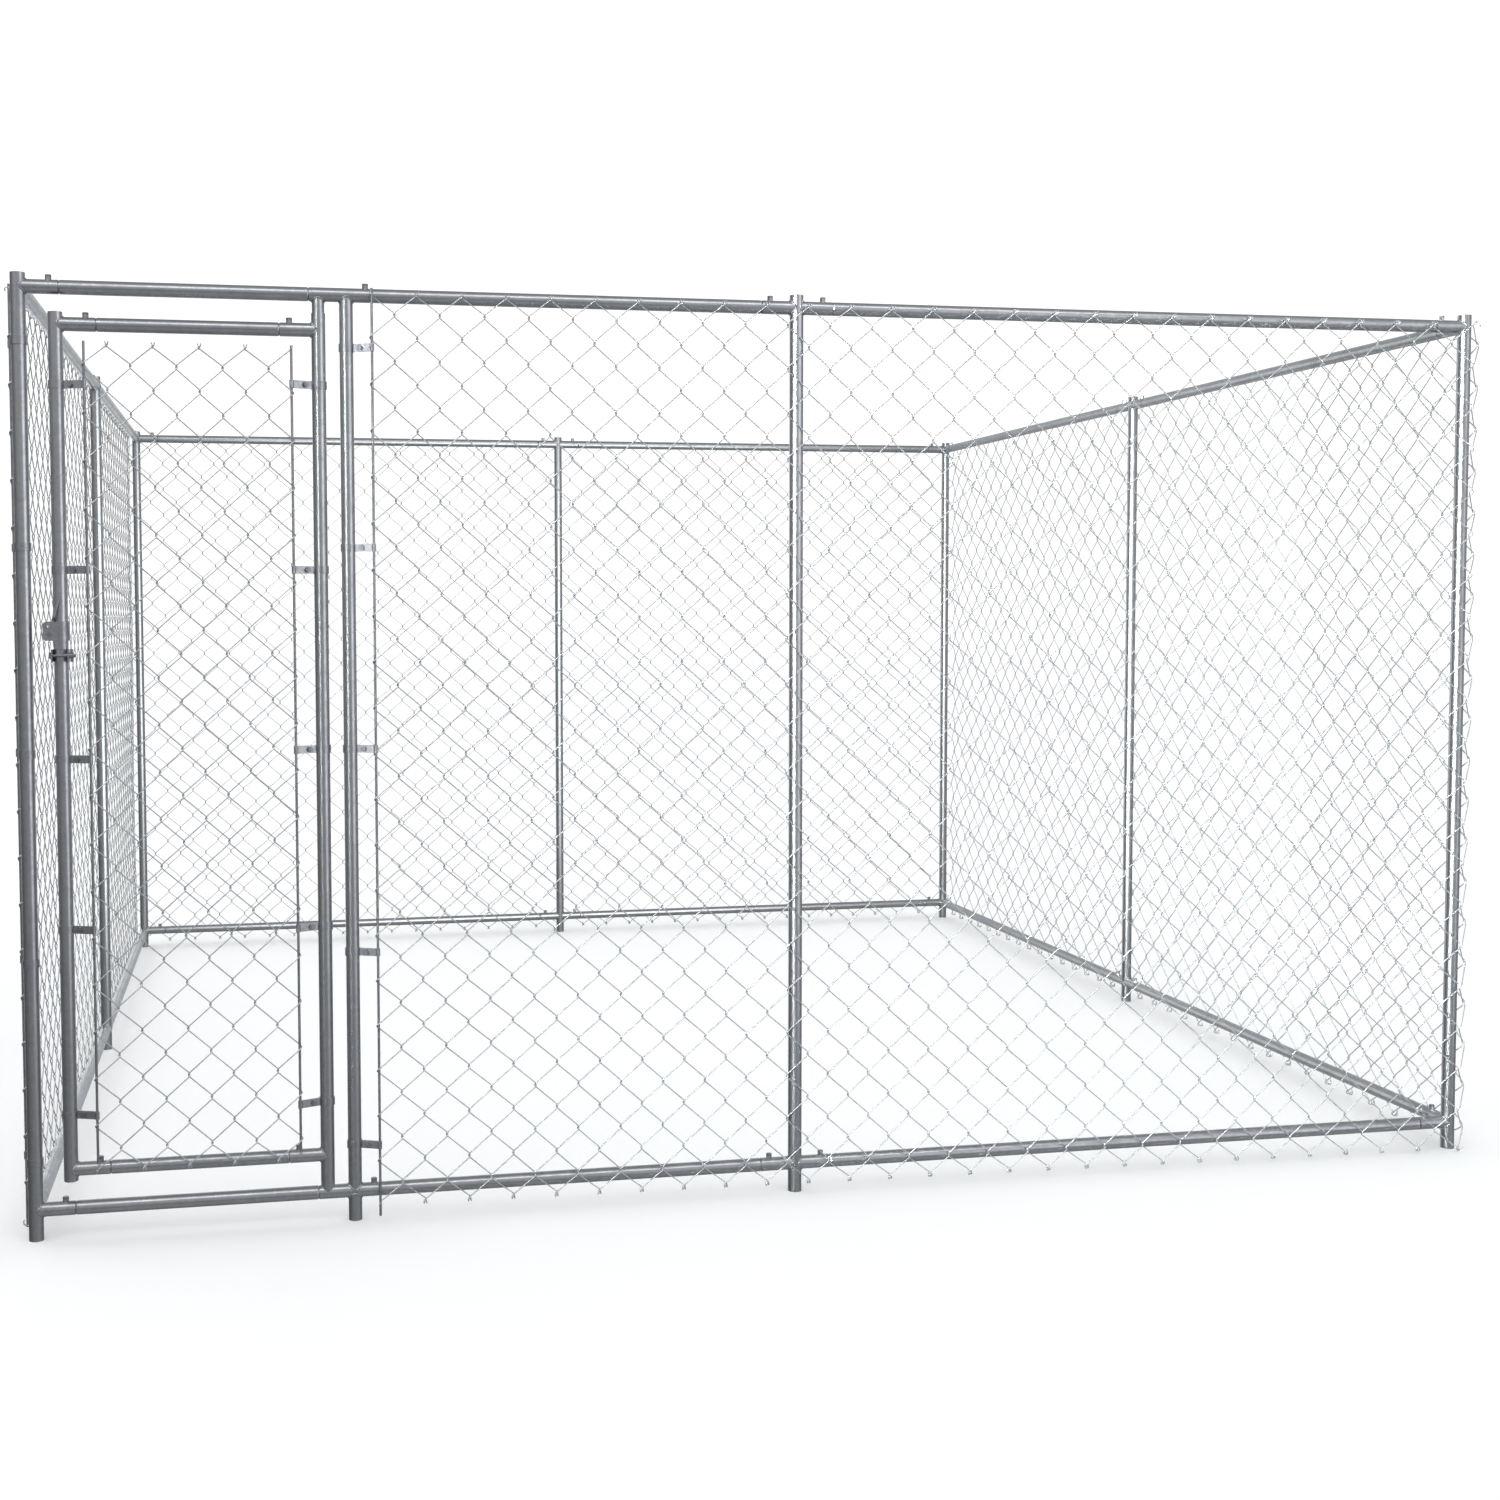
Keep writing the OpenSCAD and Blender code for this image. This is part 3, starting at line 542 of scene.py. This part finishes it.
class KENNEL_OT_lay_welds(bpy.types.Operator):
    """Lay the weld beads where sockets and sleeves meet the posts and the stiles"""
    bl_idname = "kennel.lay_welds"
    bl_label = "Lay welds"

    def execute(self, context):
        material = bpy.data.materials["Galvanised weld"]
        level = {way: Matrix.Rotation(math.radians(way), 4, "Z") for way in (0, 90, 180, 270)}
        down = Matrix.Rotation(math.radians(90), 4, "Y")
        up = Matrix.Rotation(math.radians(180), 4, "X") @ down
        # the posts on plan, and the ways in degrees that their sockets point
        posts = ((LEFT, FRONT, (0, 90)), (0, FRONT, (0, 180)), (RIGHT, FRONT, (90, 180)),
                 (RIGHT, 0, (90, 270)), (RIGHT, BACK, (180, 270)), (0, BACK, (0, 180)),
                 (LEFT, BACK, (0, 270)), (LEFT, 0, (90, 270)))
        bm = bmesh.new()
        for x, y, ways in posts:
            for z in (LOW_RAIL, TOP_RAIL):
                for way in ways:
                    bead(bm, (x, y, z), level[way], POST_R, RAIL_R)
        # the hinge post leaves its lower sleeve both ways and its upper one downwards, as the spigot does
        for z, turn in ((LOW_RAIL, up), (LOW_RAIL, down), (TOP_RAIL, down)):
            bead(bm, (HINGE_POST, FRONT, z), turn, RAIL_R, HINGE_POST_R)
        bead(bm, (HINGE_STILE, FRONT, TOP_RAIL), down, RAIL_R, SPIGOT_R)
        piece("welds_frame", bm, material, "frame")
        bm = bmesh.new()
        for x, way in ((LATCH_STILE, 0), (HINGE_STILE, 180)):
            for z in (GATE_LOW, GATE_TOP):
                bead(bm, (x, FRONT, z), level[way], STILE_R, GATE_SOCKET_R)
        piece("welds_gate", bm, material, "gate")
        return {"FINISHED"}


# finishes of the frame's own parts


class KENNEL_OT_finish_steel(bpy.types.Operator):
    """Finish the tubes, rods, bands, bolts and latch, and mix the finishes of the netting and the welds"""
    bl_idname = "kennel.finish_steel"
    bl_label = "Finish steel"

    def execute(self, context):
        c = context.scene.kennel_finish
        lengthways = 0.06
        no_grain = (1, 1, 1)
        # hot-dipped tube: the glossiest, with crystals under a centimetre wide and drawing lines along it
        tubes = {}
        for way, grain in (("upright", (1, 1, lengthways)), ("across", (lengthways, 1, 1)),
                           ("deep", (1, lengthways, 1))):
            tubes[way] = steel("Galvanised tube " + way, tuple(c.tube), tuple(c.tube_dull), roughness=0.3,
                               spangle=9 * MM, streak=3 * MM, grain=grain, bump=0.12 * MM)
        # galvanised wire: the palest, with a broad soft highlight
        wire = steel("Galvanised wire", tuple(c.wire), tuple(c.wire_dull), roughness=0.46,
                     spangle=4 * MM, streak=2 * MM, grain=no_grain, bump=0.1 * MM, metallic=0.9)
        # drawn rod: darker than the wire that hangs on it, with lines along it
        rod = steel("Galvanised rod", tuple(c.rod), tuple(c.rod_dull), roughness=0.4,
                    spangle=5 * MM, streak=2 * MM, grain=(1, 1, 0.1), bump=0.1 * MM)
        # weld bead under zinc: matt and coarse
        steel("Galvanised weld", tuple(c.tube_dull), tuple(c.fitting_dull), roughness=0.5,
              spangle=3 * MM, streak=1.5 * MM, grain=no_grain, bump=0.4 * MM)
        # bands and latch, pressed from sheet and plated: smoother than the wire, with faint upright lines
        fitting = steel("Zinc-plated pressed steel", tuple(c.fitting), tuple(c.fitting_dull), roughness=0.34,
                        spangle=5 * MM, streak=1.5 * MM, grain=(1, 1, 0.2), bump=0.08 * MM)
        # plated bolts and nuts: the darkest, with a fine mottle
        bolt = steel("Zinc-plated bolt", tuple(c.bolt), tuple(c.bolt_dull), roughness=0.4,
                     spangle=2 * MM, streak=1 * MM, grain=no_grain, bump=0.08 * MM)
        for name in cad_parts:
            if name.startswith("net_") or name == "gate_net":
                wear(name, wire)
            elif "rod_" in name:
                wear(name, rod)
            elif "bolt" in name or name in ("latch_pin", "latch_wing_nut"):
                wear(name, bolt)
            elif "bands" in name or name.startswith("latch_"):
                wear(name, fitting)
            elif name.startswith(("post", "hinge_post", "gate_stile")):
                wear(name, tubes["upright"])
            elif name.startswith(("rail_right", "rail_left")):
                wear(name, tubes["deep"])
            else:
                wear(name, tubes["across"])
        return {"FINISHED"}


# stage

MIDDLE_FRONT = (0, FRONT, 0.9)
# soft boxes: name, place, point that it faces, width and height in metres, watts, colour, spread in degrees
SOFT_BOXES = (
    ("box_right", (2.3, -4.3, 1.4), (-1.0, FRONT, 1.0), 2.8, 3.6, 7, "FBFCFF", 80),
    ("box_above", (0.3, -4.8, 5.2), MIDDLE_FRONT, 6.0, 1.8, 62, "FFFFFF", 180),
    ("box_upper_left", (-5.0, -4.0, 5.5), MIDDLE_FRONT, 2.5, 2.5, 180, "FFFFFF", 180),
    ("box_for_corner", (-2.7, -5.2, 1.6), (RIGHT, FRONT, 0.9), 1.2, 2.4, 46, "F8FFFB", 40),
    # inside the run, just beyond the reach of a gate that swings in
    ("box_for_back", (0.2, -0.9, 1.0), (0.2, BACK, 0.9), 2.6, 1.7, 33, "F8FFFB", 180),
    ("box_for_right", (-2.2, 4.2, 1.2), (RIGHT, 0, 1.0), 3.0, 4.0, 26, "F8FFFB", 180),
)
# the way to the brighter side of the dim room, and how far below the horizon its wall meets the floor
BRIGHT_SIDE = (0.6, -0.75, 0.15)
WALL_FOOT = 0.3


def lay_floor(scene, stage):
    """Lays a matt white floor, which the steel doesn't mirror."""
    material, tree, shader = new_material("Matt white floor paper")
    # paper: an even matt white with the faintest cloud, half a metre across
    place = add(tree, "ShaderNodeTexCoord").outputs["Object"]
    cloud = add(tree, "ShaderNodeTexNoise", Vector=place, Scale=2.0, Detail=2.0)
    colour = add(tree, "ShaderNodeMix", {"data_type": "RGBA"}, _0=cloud.outputs[0],
                 _6=tuple(stage.floor_shade), _7=tuple(stage.floor))
    tree.links.new(colour.outputs[2], shader.inputs["Base Color"])
    shader.inputs["Roughness"].default_value = 0.9
    shader.inputs["Specular IOR Level"].default_value = 0.1
    bm = bmesh.new()
    bmesh.ops.create_grid(bm, x_segments=8, y_segments=8, size=40)
    mesh = bpy.data.meshes.new("floor")
    bm.to_mesh(mesh)
    bm.free()
    mesh.materials.append(material)
    floor = bpy.data.objects.new("floor", mesh)
    scene.collection.objects.link(floor)
    # the steel shows the dim room below it, and not the burnt-out white of the floor
    floor.visible_glossy = False
    return floor


def light_room(scene):
    """Lights a white room for the eye and the floor, and a dimmer one for the gloss of the steel."""
    world = bpy.data.worlds.new("Studio")
    scene.world = world
    world.use_nodes = True
    tree = world.node_tree
    tree.nodes.clear()
    sky = add(tree, "ShaderNodeTexCoord").outputs["Generated"]
    towards = add(tree, "ShaderNodeVectorMath", {"operation": "DOT_PRODUCT"}, _0=sky, _1=BRIGHT_SIDE)
    dim = add(tree, "ShaderNodeMapRange", Value=towards.outputs["Value"], From_Min=-0.9, From_Max=0.9,
              To_Min=0.16, To_Max=0.50)
    # darkest where the wall meets the floor, which draws a dark line along the rails under their highlight
    sky_axes = add(tree, "ShaderNodeSeparateXYZ", Vector=sky)
    foot = add(tree, "ShaderNodeMath", {"operation": "ADD"}, _0=sky_axes.outputs["Z"], _1=WALL_FOOT)
    off_foot = add(tree, "ShaderNodeMath", {"operation": "ABSOLUTE"}, _0=foot.outputs[0])
    dip = add(tree, "ShaderNodeMapRange", Value=off_foot.outputs[0], From_Min=0.05, From_Max=0.35,
              To_Min=0.5, To_Max=1.0)
    # a lit wall behind the run, which the rails that lead to the back show along their whole side
    wall = add(tree, "ShaderNodeMapRange", Value=sky_axes.outputs["Y"], From_Min=0.6, From_Max=0.9,
               To_Min=0.0, To_Max=0.5)
    room = add(tree, "ShaderNodeMath", {"operation": "MULTIPLY_ADD"}, _0=dim.outputs[0], _1=dip.outputs[0],
               _2=wall.outputs[0])
    white = add(tree, "ShaderNodeBackground", Color=(1, 1, 1, 1), Strength=1.12)
    studio = add(tree, "ShaderNodeBackground", Color=linear("F3F7F9"), Strength=room.outputs[0])
    gloss = add(tree, "ShaderNodeLightPath").outputs["Is Glossy Ray"]
    both = add(tree, "ShaderNodeMixShader", Fac=gloss, _1=white.outputs[0], _2=studio.outputs[0])
    add(tree, "ShaderNodeOutputWorld", Surface=both.outputs[0])


def soft_box(scene, flagged, name, place, target, width, height, watts, code, spread):
    """A soft studio light that faces a point, off the flagged things; a grid on it may narrow its spread."""
    light = bpy.data.lights.new(name, "AREA")
    light.shape = "RECTANGLE"
    light.size, light.size_y = width, height
    light.energy = watts
    light.spread = math.radians(spread)
    light.color = linear(code)[:3]
    made = bpy.data.objects.new(name, light)
    made.location = place
    made.rotation_euler = (Vector(target) - Vector(place)).to_track_quat("-Z", "Y").to_euler()
    made.visible_camera = False
    made.light_linking.receiver_collection = flagged
    scene.collection.objects.link(made)


def place_camera(scene, stage):
    """Stands the camera where the photograph was taken from, with the photograph's lens and framing."""
    camera = bpy.data.cameras.new("camera")
    camera.sensor_fit = "HORIZONTAL"
    camera.sensor_width = 36.0
    camera.lens = stage.focal / PHOTO_SIDE * camera.sensor_width
    camera.shift_x = 0.5 - stage.centre[0] / PHOTO_SIDE
    camera.shift_y = stage.centre[1] / PHOTO_SIDE - 0.5
    camera.clip_end = 200
    eye = bpy.data.objects.new("camera", camera)
    turn = (Matrix.Rotation(-stage.yaw, 4, "Z") @ Matrix.Rotation(math.radians(90) - stage.pitch, 4, "X")
            @ Matrix.Rotation(stage.roll, 4, "Z"))
    eye.matrix_world = Matrix.Translation(stage.eye) @ turn
    scene.collection.objects.link(eye)
    scene.camera = eye


class KENNEL_OT_set_stage(bpy.types.Operator):
    """Set the pale floor, the soft studio light and the camera"""
    bl_idname = "kennel.set_stage"
    bl_label = "Set stage"

    def execute(self, context):
        scene = context.scene
        floor = lay_floor(scene, scene.kennel_stage)
        # flags keep the soft boxes off the floor, so it stays just white and thin wires still show against it
        flagged = bpy.data.collections.new("flagged")
        flagged.objects.link(floor)
        flagged.collection_objects[0].light_linking.link_state = "EXCLUDE"
        light_room(scene)
        for box in SOFT_BOXES:
            soft_box(scene, flagged, *box)
        place_camera(scene, scene.kennel_stage)
        scene.view_settings.view_transform = "Standard"
        return {"FINISHED"}


class KENNEL_PT_steps(bpy.types.Panel):
    """Lists the steps that dress the kennel, with their sizes and colours"""
    bl_idname = "KENNEL_PT_steps"
    bl_label = "Kennel run"
    bl_space_type = "VIEW_3D"
    bl_region_type = "UI"
    bl_category = "Kennel"

    def draw(self, context):
        layout = self.layout
        for step in STEPS:
            layout.operator(step.bl_idname)
        for group in GROUPS:
            box = layout.box()
            settings = getattr(context.scene, group)
            for name in settings.bl_rna.properties.keys():
                if name not in ("rna_type", "name"):
                    box.prop(settings, name)


GROUPS = {"kennel_netting": KennelNetting, "kennel_finish": KennelFinish, "kennel_stage": KennelStage}
STEPS = (KENNEL_OT_finish_steel, KENNEL_OT_weave_roll, KENNEL_OT_weave_gate, KENNEL_OT_lay_welds,
         KENNEL_OT_set_stage)


def register():
    for cls in (*GROUPS.values(), *STEPS, KENNEL_PT_steps):
        bpy.utils.register_class(cls)
    for name, cls in GROUPS.items():
        setattr(bpy.types.Scene, name, PointerProperty(type=cls))


def unregister():
    for name in GROUPS:
        delattr(bpy.types.Scene, name)
    for cls in reversed((*GROUPS.values(), *STEPS, KENNEL_PT_steps)):
        bpy.utils.unregister_class(cls)


def main():
    register()
    bpy.ops.kennel.finish_steel()
    bpy.ops.kennel.weave_roll()
    bpy.ops.kennel.weave_gate()
    bpy.ops.kennel.lay_welds()
    bpy.ops.kennel.set_stage()


if __name__ == "__main__":
    main()
